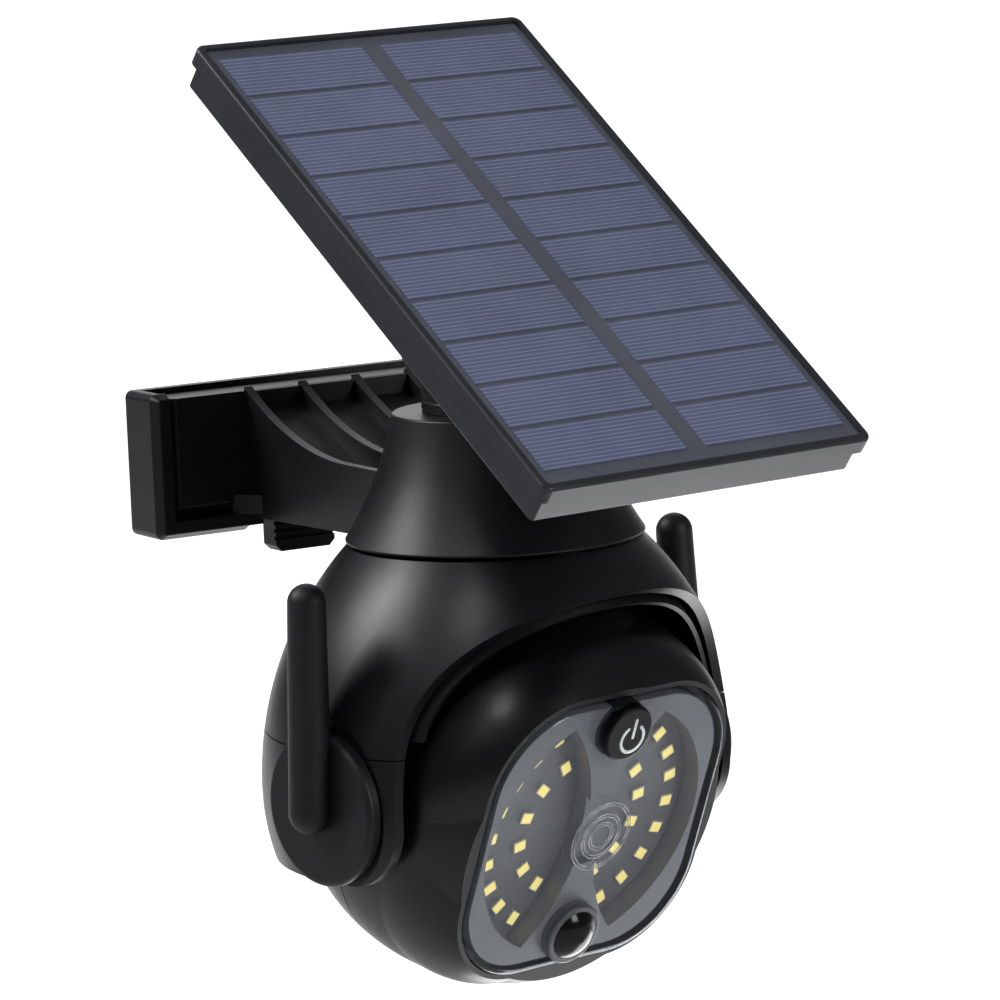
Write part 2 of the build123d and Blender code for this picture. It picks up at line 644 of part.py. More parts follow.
def emitters():
    """Surface-mounted emitters in two arcs on each side, each turned to face the centre."""
    solids = []
    for radius, angle in led_places():
        a = radians(angle)
        x = radius * sin(a)
        z = FACE_LIFT + radius * cos(a)
        body = Box(LED_W, LED_H, LED_L)
        y = -(BOARD_TOP + LED_H / 2)
        solids.append((Pos(x, y, z) * Rot(0, angle, 0) * body).solid())
    return Compound(children=solids)


def cover_gasket():
    ring = face_square(FACE_HALF - 0.1, FACE_CORNER) - face_square(FACE_HALF - 2.0, FACE_CORNER - 2.0)
    return slab(ring - face_disc(COLLAR_R + 0.3, EYE_Z), COVER_BACK - 1.9, COVER_BACK)


def power_button():
    """Round button with a guided stem behind its cap."""
    cap = slab(face_disc(BUTTON_R, BUTTON_Z), COVER_FRONT - 3.0, BUTTON_FRONT)
    cap = fillet(cap.faces().sort_by(Axis.Y)[0].edges(), 0.7)
    cap += slab(face_disc(3.0, BUTTON_Z), BOARD_TOP - 3.4, COVER_FRONT - 3.0)
    return cap


def power_switch():
    """Tact switch on a bracket board behind the button."""
    z = FACE_LIFT + BUTTON_Z
    back = BOARD_TOP - 9.4
    switch = block(-3.0, 3.0, -(back + 3.4), -back, z - 3.0, z + 3.0)
    return switch + rod_y(1.7, -(back + 4.4), -(back + 3.4), 0, z)


def switch_board():
    """Small board on four legs behind the emitters' board."""
    z = FACE_LIFT + BUTTON_Z
    front = BOARD_TOP - 9.4
    board = block(-9, 9, -front, -(front - BOARD_T), z - 7, z + 5)
    for x in (-7.5, 7.5):
        for dz in (-5.5, 1.0):
            board += rod_y(1.1, -(BOARD_TOP - BOARD_T), -front, x, z + dz)
    return board


def sensor_dome():
    """Glossy dome over the motion sensor: a hollow turned cap standing behind the collar."""
    brow = COVER_FRONT + 0.9
    top = brow + EYE_RISE
    back = BOARD_TOP + 1.2
    cap_r = (EYE_R**2 + EYE_RISE**2) / (2 * EYE_RISE)
    cap = rod_z(EYE_R, brow - 0.2, top) & Pos(0, 0, top - cap_r) * Sphere(cap_r)
    cap += rod_z(EYE_R, back, brow)
    cap -= rod_z(EYE_R - 1.2, back - 1, brow - 0.9)
    return Pos(0, 0, FACE_LIFT + EYE_Z) * Rot(90, 0, 0) * cap


def sensor_collar():
    ring = slab(face_disc(COLLAR_R, EYE_Z) - face_disc(EYE_R + 0.02, EYE_Z), BOARD_TOP + 0.1, COVER_FRONT + 0.9)
    return fillet(ring.faces().sort_by(Axis.Y)[0].edges().sort_by(SortBy.LENGTH)[-1], 0.6)


def motion_sensor():
    """Metal can with a window, standing on three legs in the board's hole."""
    z = FACE_LIFT + EYE_Z
    can = rod_y(4.0, -(BOARD_TOP + 3.2), -(BOARD_TOP - 1.0), 0, z)
    can += rod_y(4.5, -(BOARD_TOP - 1.0), -(BOARD_TOP - 1.6), 0, z)
    can -= block(-1.9, 1.9, -(BOARD_TOP + 3.5), -(BOARD_TOP + 2.9), z - 1.5, z + 1.5)
    for k in range(3):
        a = radians(90 + 120 * k)
        can += rod_y(0.25, -(BOARD_TOP - 1.5), -(BOARD_TOP - 5.0), 2.5 * cos(a), z + 2.5 * sin(a))
    return can


def main_board():
    """Driver and charger board on the four shelves of the ball's front half."""
    return block(-24, 24, -12.0, -10.4, -34, 20)


def board_chips():
    solids = []
    for x, z, w, h, t in ((-10, -6, 5, 6, 1.6), (8, 8, 7, 5, 1.8), (12, -14, 9, 9, 4.0), (-14, 10, 4, 4, 2.2)):
        solids.append(block(x - w / 2, x + w / 2, -12.0 - t, -12.0, z - h / 2, z + h / 2).solid())
    return Compound(children=solids)


def battery_cradle():
    """Half-round cradle with end walls on the back of the main board."""
    cradle = block(-36, 36, -10.4, 8.0, -11.5, 11.5)
    cradle -= rod_x(9.3, -33.5, 33.5, 4.0, 0)
    cradle -= block(-33.5, 33.5, 4.0, 9.0, -9.3, 9.3)
    return cradle


def battery_cell():
    cell = rod_x(9.2, -32.4, 31.6, 4.0, 0)
    cell = fillet(cell.edges(), 0.8)
    return cell + rod_x(3.0, 31.6, 32.6, 4.0, 0)


def battery_contacts():
    solids = []
    for x0, x1 in ((-33.4, -32.5), (32.7, 33.4)):
        solids.append(block(x0, x1, -2.0, 9.0, -4.0, 4.0).solid())
    return Compound(children=solids)


# ---- solar panel ----------------------------------------------------------------------------
def turntable():
    """Low round collar on the neck, with a flat-sided fork for the hinge."""
    stem = rod_z(STEM_R, NECK_H + 0.2, NECK_H + 3.0)
    stem = fillet(stem.edges().group_by(Axis.Z)[-1], 0.5)
    cheeks = block(-CHEEK_X, CHEEK_X, -HINGE_R, HINGE_R, NECK_H + 1, HINGE_Z)
    cheeks += rod_x(HINGE_R, -CHEEK_X, CHEEK_X, 0, HINGE_Z)
    cheeks -= block(-FORK_X, FORK_X, -30, 30, HINGE_Z - 9.2, HINGE_Z + 20)
    stem += cheeks
    stem += rod_z(SPIGOT_R, WASHER_Z, NECK_H + 0.3)
    stem -= rod_z(1.6, NECK_H - 5, NECK_H + 6)
    return stem - rod_x(BOLT_R, -40, 40, 0, HINGE_Z)


def turntable_washer():
    """Friction washer under the neck's top, held by the turntable screw."""
    return rod_z(12.0, WASHER_Z - WASHER_T, WASHER_Z) - rod_z(1.6, NECK_H - 9, NECK_H)


def turntable_screw():
    return screw_z(0, 0, WASHER_Z - WASHER_T - 2.2, 12.0, 4.2, 1.6, 2.2)


def hinge_bolt():
    """Bolt through the fork: square head on one side, plain end for the knob on the other."""
    shank = rod_x(BOLT_R, -KNOB_X + 1.6, CHEEK_X, 0, HINGE_Z)
    head = rod_x(5.2, CHEEK_X, CHEEK_X + 2.6, 0, HINGE_Z)
    head = fillet(head.edges().group_by(Axis.X)[-1], 0.8)
    return shank + head


def thumb_knob():
    """Ribbed knob that clamps the fork."""
    knob = rod_x(KNOB_R, -KNOB_X, -CHEEK_X - 1.0, 0, HINGE_Z)
    knob = fillet(knob.edges().group_by(Axis.X)[0], 1.6)
    for k in range(18):
        a = radians(20 * k)
        flute = rod_x(0.8, -KNOB_X - 1, -CHEEK_X - 2.4, (KNOB_R + 0.3) * cos(a), HINGE_Z + (KNOB_R + 0.3) * sin(a))
        knob -= flute
    return knob - rod_x(BOLT_R + RUN, -KNOB_X + 1.5, 0, 0, HINGE_Z)


def hinge_washer():
    return rod_x(6.4, -CHEEK_X - 0.7, -CHEEK_X, 0, HINGE_Z) - rod_x(BOLT_R + 0.1, -40, 40, 0, HINGE_Z)


def panel_plate(inset, z0, z1, corner):
    """Rounded slab of the panel, its edge moved in by inset."""
    plan = Pos(0, PANEL_SHIFT) * RectangleRounded(PANEL_W - 2 * inset, PANEL_L - 2 * inset, corner)
    return Pos(0, 0, z0) * extrude(plan, amount=z1 - z0)


def panel_frame():
    """Rim around the solar board, with a ledge that the board lies on."""
    z0 = PANEL_TOP - FRAME_T
    frame = panel_plate(0, z0, PANEL_TOP, 2.6)
    frame = fillet(frame.edges().group_by(Axis.Z)[-1], 0.9)
    frame -= panel_plate(RIM_W, PANEL_TOP - RECESS - BOARD_PANEL_T, PANEL_TOP + 1, 1.2)
    return frame - panel_plate(5.0, z0 - 1, PANEL_TOP, 2.0)


def panel_tray():
    """Back of the panel with ribs inside and the hinge lug underneath."""
    z1 = PANEL_TOP - FRAME_T
    z0 = z1 - TRAY_T
    tray = panel_plate(TRAY_INSET, z0, z1, 1.2)
    tray = fillet(tray.edges().group_by(Axis.Z)[0], 0.5)
    pocket = panel_plate(TRAY_INSET + 2.2, z0 + 2.0, z1 + 1, 1.6)
    for y in (-40, 0, 40):
        pocket -= block(-60, 60, y + PANEL_SHIFT - 0.8, y + PANEL_SHIFT + 0.8, z0, z1 - 0.6)
    for x, y in ((-44, -74), (44, -74), (-44, 74), (44, 74)):
        pocket -= rod_z(3.4, z0, z1 + 2, x, y + PANEL_SHIFT)
    tray -= pocket
    for x, y in ((-44, -74), (44, -74), (-44, 74), (44, 74)):
        tray -= rod_z(1.45, z0 - 1, z1 + 1, x, y + PANEL_SHIFT)
        tray -= rod_z(2.8, z0 - 1, z0 + 2.0, x, y + PANEL_SHIFT)
    tray = Pos(PANEL_SIDE, 0, 0) * tray
    lug = rod_x(HINGE_R - 0.6, -LUG_X, LUG_X) + block(-LUG_X, LUG_X, -HINGE_R + 0.6, HINGE_R - 0.6, 0, z0 + 1)
    rib = Polyline((-26, z0 + 0.5), (-7.5, 6.0), (7.5, 6.0), (26, z0 + 0.5), (-26, z0 + 0.5))
    lug += prism_x(rib, -1.5, 1.5)
    lug += block(-20, 20, -14, 14, z0 - 2.4, z0 + 1)
    return (tray + lug) - rod_x(BOLT_R + RUN, -40, 40)


def solar_board():
    z1 = PANEL_TOP - RECESS
    return panel_plate(RIM_W + 0.1, z1 - BOARD_PANEL_T, z1, 1.1)


def solar_cells():
    """Two columns of thin wafers on the board."""
    z1 = PANEL_TOP - RECESS
    inner_w = PANEL_W - 2 * RIM_W - 2 * MARGIN_SIDE
    inner_l = PANEL_L - 2 * RIM_W - MARGIN_HIGH - MARGIN_LOW
    cell_w = (inner_w - CELL_STRIP) / 2
    cell_l = (inner_l - (CELL_ROWS - 1) * CELL_GAP) / CELL_ROWS
    low = PANEL_SHIFT - PANEL_L / 2 + RIM_W + MARGIN_LOW
    solids = []
    for row in range(CELL_ROWS):
        y0 = low + row * (cell_l + CELL_GAP)
        for side in (-1, 1):
            x_in = side * CELL_STRIP / 2
            x_out = x_in + side * cell_w
            cell = block(min(x_in, x_out), max(x_in, x_out), y0, y0 + cell_l, z1, z1 + CELL_T)
            solids.append(cell.solid())
    return Compound(children=solids)


def panel_screws():
    z0 = PANEL_TOP - FRAME_T - TRAY_T
    screws = Part()
    for x, y in ((-44, -74), (44, -74), (-44, 74), (44, 74)):
        screws += screw_z(x, y + PANEL_SHIFT, z0 + 0.2, TRAY_T - 0.3, 2.6, 1.4)
    return screws


# ---- assembly -------------------------------------------------------------------------------
def build():
    put("wall_plate", wall_plate())
    put("release_latch", release_latch())
    put("arm_bracket", arm_bracket(), NECK)
    put("base_ring", base_ring(), NECK)
    put("base_screws", base_screws(), NECK)
    shell_parts()
    put("pan_retainer", pan_retainer(), SHELL)
    put("retainer_screws", retainer_screws(), SHELL)
    put("hood_liner", hood_liner(), SHELL)
    put("shell_screws", shell_screws(), SHELL)
    put("tilt_bushes", tilt_bushes(), BALL)
    for side, word, lean in ((-1, "left", LEAN_LEFT), (1, "right", LEAN_RIGHT)):
        put(f"ear_cap_{word}", Rot(lean, 0, 0) * ear_cap(side), BALL)
        put(f"antenna_{word}", Rot(lean, 0, 0) * antenna(side), BALL)
    put("ball_front", front_with_posts(), FACE)
    put("ball_rear", ball_rear(), FACE)
    put("ball_screws", ball_screws(), FACE)
    put("tilt_pins", tilt_pins(), FACE)
    put("clear_cover", clear_cover(), FACE)
    put("cover_gasket", cover_gasket(), FACE)
    put("face_mask", face_mask(), FACE)
    put("led_board", led_board(), FACE)
    put("led_emitters", emitters(), FACE)
    put("power_button", power_button(), FACE)
    put("power_switch", power_switch(), FACE)
    put("switch_board", switch_board(), FACE)
    put("sensor_dome", sensor_dome(), FACE)
    put("sensor_collar", sensor_collar(), FACE)
    put("motion_sensor", motion_sensor(), FACE)
    put("main_board", main_board(), FACE)
    put("board_chips", board_chips(), FACE)
    put("battery_cradle", battery_cradle(), FACE)
    put("battery_cell", battery_cell(), FACE)
    put("battery_contacts", battery_contacts(), FACE)
    put("turntable", turntable(), TURN)
    put("turntable_washer", turntable_washer(), TURN)
    put("turntable_screw", turntable_screw(), TURN)
    put("hinge_bolt", hinge_bolt(), TURN)
    put("hinge_washer", hinge_washer(), TURN)
    put("thumb_knob", thumb_knob(), TURN)
    put("panel_frame", panel_frame(), SHEET)
    put("panel_tray", panel_tray(), PANEL)
    put("solar_board", solar_board(), SHEET)
    put("solar_cells", solar_cells(), SHEET)
    put("panel_screws", panel_screws(), SHEET)
    for name, shape in parts.items():
        export_step(shape, f"parts/{name}.step")


build()
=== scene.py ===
"""Looks for the solar security light: materials, emitters, symbol, lens crests with painted highlight,
studio, camera.
"""
import json
import math

import bmesh
import bpy
import numpy as np
from mathutils import Matrix, Vector


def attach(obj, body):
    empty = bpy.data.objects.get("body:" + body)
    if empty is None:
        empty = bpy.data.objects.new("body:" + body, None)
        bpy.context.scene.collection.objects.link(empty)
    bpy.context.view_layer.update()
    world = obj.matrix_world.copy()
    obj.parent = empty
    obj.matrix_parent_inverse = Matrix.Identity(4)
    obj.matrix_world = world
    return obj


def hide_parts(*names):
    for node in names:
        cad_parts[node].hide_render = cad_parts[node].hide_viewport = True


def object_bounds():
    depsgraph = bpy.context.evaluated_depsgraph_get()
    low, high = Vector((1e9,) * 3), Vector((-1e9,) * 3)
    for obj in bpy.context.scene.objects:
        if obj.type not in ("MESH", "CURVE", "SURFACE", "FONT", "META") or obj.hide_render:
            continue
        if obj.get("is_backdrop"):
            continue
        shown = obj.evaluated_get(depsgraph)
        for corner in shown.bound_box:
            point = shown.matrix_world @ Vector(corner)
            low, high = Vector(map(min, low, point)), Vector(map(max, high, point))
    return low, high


MM = 0.001

# driving values, in millimetres unless a comment says otherwise
CELL_ROWS = 10
CELL_FINGERS = 12               # bright fingers across one cell
EMITTER_RINGS = (               # half x, half y, corner, height of each ring of the white package
    (1.53, 1.88, 0.12, -0.4), (1.56, 1.91, 0.15, -0.3), (1.56, 1.91, 0.15, 0.33),
    (1.5, 1.85, 0.15, 0.39), (1.36, 1.71, 0.3, 0.39), (1.3, 1.65, 0.3, 0.3),
)
GEL_RINGS = ((1.31, 1.66, 0.3, 0.3), (1.34, 1.69, 0.3, 0.37), (1.1, 1.4, 0.3, 0.41))
SYMBOL_SHIFT = (1.3, -1.5)      # centre of the power sign, from the middle of the button
SYMBOL_R = 3.6
SYMBOL_GAP = 34                 # degrees on each side of the top
SYMBOL_STEPS = 48
SYMBOL_BAR = (5.2, 3.8, 2.0, 0.4)
STROKE_HALF = 0.44
STROKE_LOW = -0.05
STROKE_HIGH = 0.04
END_STEPS = 6                   # facets of a stroke's round end
CREST_PROFILE = ((-0.22, -0.04), (-0.1, 0.04), (0.1, 0.04), (0.22, -0.04))
CREST_STEPS = 96

# studio, in metres
SWEEP_DROP = 0.30               # floor below the part
SWEEP_HALF = 7.0
SWEEP_FRONT = -6.0
SWEEP_BEND = 4.0                # where the floor starts to rise
SWEEP_R = 2.0
SWEEP_TOP = 7.0
SWEEP_STEPS = 12
VIEW_TURN = -30.75              # degrees, the camera's side of the part
WORLD_STRENGTH = 0.12
LIGHTS = (                      # name, distance, direction, width, height, power
    ("key_left", 1.6, (-0.75, -0.35, 0.56), 0.5, 0.5, 0.4),
    ("overhead", 1.2, (-0.66, 0.45, 0.66), 0.4, 0.5, 9.0),
    ("high_front", 1.4, (-0.50, -0.35, 0.88), 0.1, 0.35, 2.2),
    ("front", 1.9, (0.40, -0.88, 0.3), 0.6, 0.6, 7.5),
    ("low_right", 0.45, (0.5, 0.25, -0.83), 0.4, 0.4, 1.8),
)

# camera: place from the pan axis, and its own axes
CAMERA_PLACE = (-0.6895, -1.1619, 0.2110)
CAMERA_RIGHT = (0.8555, -0.5162, -0.0416)
CAMERA_UP = (0.1116, 0.1054, 0.9882)
CAMERA_BACK = (-0.5057, -0.85, 0.1478)
CAMERA_LENS = 199.4
CAMERA_SENSOR = 36.0
CAMERA_CLIP = (0.05, 40)

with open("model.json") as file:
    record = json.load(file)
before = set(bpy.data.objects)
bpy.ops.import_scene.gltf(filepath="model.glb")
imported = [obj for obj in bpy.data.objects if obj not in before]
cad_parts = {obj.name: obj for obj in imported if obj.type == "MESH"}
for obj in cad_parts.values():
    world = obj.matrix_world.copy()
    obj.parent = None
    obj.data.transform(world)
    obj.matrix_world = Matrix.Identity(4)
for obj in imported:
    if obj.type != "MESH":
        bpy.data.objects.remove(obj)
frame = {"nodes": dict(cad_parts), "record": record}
nodes = frame["nodes"]
record = frame["record"]
size = {"loaded": [list(v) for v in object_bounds()]}
joints = {j["name"]: j for j in record["behaviour"]["joints"]}


# ---- frames taken from the joints --------------------------------------------------------------
def axes_frame(origin, x_axis, y_axis):
    """4x4 frame from an origin, its X axis and a direction in its XY plane."""
    x = Vector(x_axis).normalized()
    z = x.cross(Vector(y_axis)).normalized()
    y = z.cross(x)
    turn = Matrix((x, y, z)).transposed()
    return Matrix.Translation(Vector(origin)) @ turn.to_4x4()


def main_normal(node):
    """Normal of the largest set of equal faces of a CAD node."""
    sums = {}
    for p in nodes[node].data.polygons:
        key = tuple(round(c, 2) for c in p.normal)
        sums[key] = sums.get(key, 0.0) + p.area
    best = max(sums, key=lambda k: (sums[k], k[2]))
    n = Vector(best).normalized()
    return n if n.z > 0 else -n


tilt = joints["head_tilt"]
FACE = axes_frame(tilt["pos_m"], tilt["axis"], joints["button_press"]["axis"])
lift = joints["panel_tilt"]
panel_up = main_normal("solar_board")
PANEL = axes_frame(lift["pos_m"], lift["axis"], panel_up.cross(Vector(lift["axis"])))


def local_points(node, frame_matrix):
    """Vertices of a CAD node in a frame, as an array in millimetres."""
    inverse = frame_matrix.inverted()
    return np.array([inverse @ v.co for v in nodes[node].data.vertices]) / MM


# ---- shader helpers ----------------------------------------------------------------------------
class Shader:
    """Small wrapper that builds a material's node tree."""

    def __init__(self, name, origin=None):
        self.mat = bpy.data.materials.new(name)
        self.mat.use_nodes = True
        self.tree = self.mat.node_tree
        self.tree.nodes.clear()
        self.out = self.tree.nodes.new("ShaderNodeOutputMaterial")
        coords = self.tree.nodes.new("ShaderNodeTexCoord")
        self.where = coords.outputs["Object"]
        if origin is not None:
            place = self.add("ShaderNodeMapping", {"Vector": self.where}, vector_type="TEXTURE")
            place.inputs["Location"].default_value = origin.to_translation()
            place.inputs["Rotation"].default_value = origin.to_euler()
            self.where = place.outputs["Vector"]

    def add(self, kind, inputs=None, **props):
        node = self.tree.nodes.new(kind)
        for key, value in props.items():
            setattr(node, key, value)
        for key, value in (inputs or {}).items():
            if isinstance(value, bpy.types.NodeSocket):
                self.tree.links.new(value, node.inputs[key])
            else:
                node.inputs[key].default_value = value
        return node

    def math(self, op, a, b=0.0, c=0.0):
        return self.add("ShaderNodeMath", {0: a, 1: b, 2: c}, operation=op).outputs[0]

    def principled(self, **inputs):
        """Principled shader; an underscore in a keyword stands for a space in a socket's name."""
        named = {key.replace("_", " "): value for key, value in inputs.items()}
        return self.add("ShaderNodeBsdfPrincipled", named).outputs[0]

    def noise(self, scale, detail=3.0, rough=0.5):
        spec = {"Vector": self.where, "Scale": scale, "Detail": detail, "Roughness": rough}
        return self.add("ShaderNodeTexNoise", spec).outputs["Fac"]

    def span(self, value, low, high, out_low=0.0, out_high=1.0, smooth=False):
        spec = {
            "Value": value, "From Min": low, "From Max": high, "To Min": out_low, "To Max": out_high,
        }
        kind = "SMOOTHSTEP" if smooth else "LINEAR"
        return self.add("ShaderNodeMapRange", spec, interpolation_type=kind).outputs["Result"]

    def mix(self, factor, a, b):
        node = self.add("ShaderNodeMix", data_type="RGBA")
        factor_in, a_in, b_in = node.inputs[0], node.inputs[6], node.inputs[7]
        for socket, value in ((factor_in, factor), (a_in, a), (b_in, b)):
            if isinstance(value, bpy.types.NodeSocket):
                self.tree.links.new(value, socket)
            else:
                socket.default_value = value
        return node.outputs[2]

    def split(self):
        return self.add("ShaderNodeSeparateXYZ", {"Vector": self.where}).outputs

    def bump(self, height, strength, distance):
        spec = {"Height": height, "Strength": strength, "Distance": distance}
        return self.add("ShaderNodeBump", spec).outputs["Normal"]

    def finish(self, shader):
        self.tree.links.new(shader, self.out.inputs["Surface"])
        return self.mat


def rgb(r, g, b):
    """Linear colour from 8-bit display values."""
    def lin(c):
        c = c / 255
        return c / 12.92 if c <= 0.04045 else ((c + 0.055) / 1.055) ** 2.4
    return (lin(r), lin(g), lin(b), 1.0)


def scaled(colour, k):
    return tuple(c * k for c in colour[:3]) + (1.0,)


def plastic(name, colour, rough, grain=0.12, grain_scale=2600, spread=0.05, coat=0.0, spec=0.5):
    """Moulded plastic: fine spark-eroded grain, faint flow marks and uneven gloss."""
    s = Shader(name)
    cloud = s.noise(28.0, 4.0, 0.55)
    fine = s.noise(grain_scale, 2.0, 0.6)
    speck = s.span(s.noise(900.0, 1.0), 0.3, 0.7)
    tone = s.mix(s.span(cloud, 0.3, 0.7), scaled(colour, 0.86), scaled(colour, 1.14))
    tone = s.mix(s.math("MULTIPLY", speck, 0.12), tone, scaled(colour, 1.6))
    gloss = s.span(cloud, 0.25, 0.75, rough - spread, rough + spread)
    return s.finish(s.principled(
        Base_Color=tone, Roughness=gloss, Normal=s.bump(fine, grain, 0.0002),
        Specular_IOR_Level=spec, Coat_Weight=coat, Coat_Roughness=0.12,
    ))


def metal(name, colour, rough):
    """Plated steel with a fine turned grain."""
    s = Shader(name)
    fine = s.noise(1500.0, 3.0, 0.7)
    cloud = s.noise(160.0, 3.0)
    tone = s.mix(s.span(cloud, 0.3, 0.7), scaled(colour, 0.8), colour)
    gloss = s.span(fine, 0.3, 0.7, rough - 0.08, rough + 0.1)
    grain = s.bump(fine, 0.1, 0.0001)
    return s.finish(s.principled(Base_Color=tone, Metallic=1.0, Roughness=gloss, Normal=grain))


def clear_plastic(name):
    """Thin clear moulding: see-through head on, glossy where it turns away from the eye."""
    s = Shader(name)
    smear = s.span(s.noise(120.0, 4.0), 0.35, 0.75, 0.02, 0.07)
    away = s.add("ShaderNodeLayerWeight", {"Blend": 0.5}).outputs["Facing"]
    shine = s.math("ADD", s.math("MULTIPLY", s.math("POWER", away, 3.5), 0.5), 0.03)
    tint = s.mix(s.span(s.noise(30.0, 3.0), 0.3, 0.7), (0.93, 0.94, 0.95, 1.0), (0.97, 0.98, 0.98, 1.0))
    open_air = s.add("ShaderNodeBsdfTransparent", {"Color": tint}).outputs[0]
    gloss = s.add("ShaderNodeBsdfGlossy", {"Color": (0.92, 0.95, 1.0, 1.0), "Roughness": smear}).outputs[0]
    sheet = s.add("ShaderNodeMixShader", {0: shine, 1: open_air, 2: gloss}).outputs[0]
    path = s.add("ShaderNodeLightPath").outputs["Is Shadow Ray"]
    return s.finish(s.add("ShaderNodeMixShader", {0: path, 1: sheet, 2: open_air}).outputs[0])


def solar_cell(name):
    """Silicon under clear resin: bright fingers across each cell, faint grain between them."""
    s = Shader(name, PANEL)
    levels = sorted(set(np.round(local_points("solar_cells", PANEL)[:, 1], 1)))
    low, high = levels[0], levels[-1]
    first_top = levels[1]
    pitch = (high - first_top) / (CELL_ROWS - 1)
    step = pitch / CELL_FINGERS
    _, y, _ = s.split()
    row_middle = (low + (first_top - low) / 2) * MM
    along = s.math("DIVIDE", s.math("SUBTRACT", y, row_middle), step * MM)
    away = s.math("ABSOLUTE", s.math("SUBTRACT", s.math("FRACT", s.math("ADD", along, 0.5)), 0.5))
    wobble = s.span(s.noise(700.0, 2.0), 0.3, 0.7, 0.7, 1.0)
    line = s.math("MULTIPLY", s.span(away, 0.06, 0.17, 1.0, 0.0, True), wobble)
    cloud = s.span(s.noise(35.0, 4.0, 0.6), 0.3, 0.7)
    tone = s.mix(cloud, rgb(108, 117, 150), rgb(122, 131, 166))
    tone = s.mix(s.math("MULTIPLY", line, 0.6), tone, rgb(196, 206, 232))
    return s.finish(s.principled(
        Base_Color=tone, Roughness=0.45, Specular_IOR_Level=0.4, Coat_Weight=0.4,
        Coat_Roughness=0.2, Normal=s.bump(s.noise(180.0, 3.0), 0.05, 0.0003),
    ))


def resin_board(name, colour):
    """Dark laminate under clear resin, with a fine weave."""
    s = Shader(name, PANEL)
    cloud = s.span(s.noise(40.0, 4.0, 0.6), 0.3, 0.7)
    weave = s.noise(1400.0, 2.0)
    tone = s.mix(cloud, scaled(colour, 0.85), scaled(colour, 1.12))
    return s.finish(s.principled(
        Base_Color=tone, Roughness=0.45, Coat_Weight=0.4, Coat_Roughness=0.2,
        Normal=s.bump(weave, 0.05, 0.0002),
    ))


def circuit_board(name, colour, trace):
    """Solder mask with faint copper tracks beneath it."""
    s = Shader(name, FACE)
    x, _, z = s.split()
    cells = s.add("ShaderNodeTexBrick", {
        "Vector": s.add("ShaderNodeCombineXYZ", {0: x, 1: z, 2: 0.0}).outputs[0],
        "Color1": (0, 0, 0, 1), "Color2": (0.25, 0.25, 0.25, 1), "Mortar": (1, 1, 1, 1),
        "Scale": 110.0, "Mortar Size": 0.02, "Mortar Smooth": 0.3,
    }).outputs["Color"]
    cloud = s.span(s.noise(60.0, 4.0), 0.3, 0.7)
    tone = s.mix(cloud, scaled(colour, 0.88), scaled(colour, 1.12))
    copper = s.add("ShaderNodeRGBToBW", {"Color": cells}).outputs[0]
    tone = s.mix(s.math("MULTIPLY", copper, 0.35), tone, trace)
    return s.finish(s.principled(Base_Color=tone, Roughness=0.45, Normal=s.bump(cells, 0.1, 0.0001)))


def phosphor(name):
    """Yellow phosphor gel, slightly grainy, with a painted glow that brightens it."""
    s = Shader(name)
    fine = s.noise(3500.0, 2.0)
    tone = s.mix(s.span(fine, 0.3, 0.7), rgb(240, 216, 110), rgb(255, 240, 160))
    return s.finish(s.principled(
        Base_Color=tone, Roughness=0.38, Normal=s.bump(fine, 0.1, 0.0001),
        # the emission is painted glow, standing in for light falling on the gel
        Emission_Color=rgb(255, 232, 140), Emission_Strength=0.75,
    ))


def package_white(name):
    """White ceramic-filled moulding of an emitter's package."""
    s = Shader(name)
    fine = s.noise(2500.0, 2.0)
    tone = s.mix(s.span(fine, 0.3, 0.7), rgb(214, 212, 208), rgb(240, 240, 236))
    return s.finish(s.principled(Base_Color=tone, Roughness=0.4, Normal=s.bump(fine, 0.08, 0.0001)))


# ---- materials on the CAD nodes ----------------------------------------------------------------
shell_black = plastic("shell_black", rgb(15, 16, 19), 0.36)
ball_black = plastic("ball_black", rgb(12, 12, 15), 0.32)
arm_black = plastic("arm_black", rgb(13, 13, 16), 0.42, grain=0.2)
rod_black = plastic("rod_black", rgb(20, 20, 23), 0.5, grain=0.15)
liner_black = plastic("liner_black", rgb(12, 12, 14), 0.45)
frame_black = plastic("frame_black", rgb(54, 56, 62), 0.32)
mask_grey = plastic("mask_grey", rgb(142, 144, 150), 0.4, grain=0.1)
MATERIALS = {
    "wall_plate": arm_black, "release_latch": arm_black, "arm_bracket": arm_black,
    "base_ring": liner_black, "shell_hood": shell_black, "shell_bowl": shell_black,
    "hood_liner": liner_black, "ear_cap_left": rod_black, "ear_cap_right": rod_black,
    "antenna_left": rod_black, "antenna_right": rod_black,
    "ball_front": ball_black, "ball_rear": ball_black, "face_mask": mask_grey,
    "turntable": arm_black, "thumb_knob": rod_black,
    "panel_frame": frame_black, "panel_tray": frame_black, "battery_cradle": liner_black,
    "clear_cover": clear_plastic("clear_cover"),
    "solar_cells": solar_cell("solar_cell"),
    "solar_board": resin_board("solar_board", rgb(108, 113, 126)),
    "led_board": circuit_board("led_board", rgb(140, 141, 145), rgb(154, 155, 159)),
    "main_board": circuit_board("main_board", rgb(26, 84, 48), rgb(60, 130, 80)),
    "power_button": plastic("button_black", rgb(8, 9, 11), 0.4, grain=0.04, spec=0.2),
    "sensor_dome": plastic(
        "dome_black", rgb(9, 8, 9), 0.16, grain=0.02, spread=0.03, coat=0.1, spec=0.35,
    ),
    "sensor_collar": plastic("collar_grey", rgb(98, 99, 105), 0.3, grain=0.05),
    "cover_gasket": plastic("gasket_grey", rgb(118, 120, 126), 0.6),
    "battery_cell": plastic("cell_wrap", rgb(36, 92, 150), 0.3, grain=0.04),
    "board_chips": plastic("chip_black", rgb(26, 26, 28), 0.5),
    "power_switch": plastic("switch_black", rgb(30, 30, 32), 0.45),
    "led_emitters": package_white("package_white"),
}
MATERIALS["switch_board"] = MATERIALS["main_board"]
steel = metal("screw_steel", rgb(190, 190, 194), 0.32)
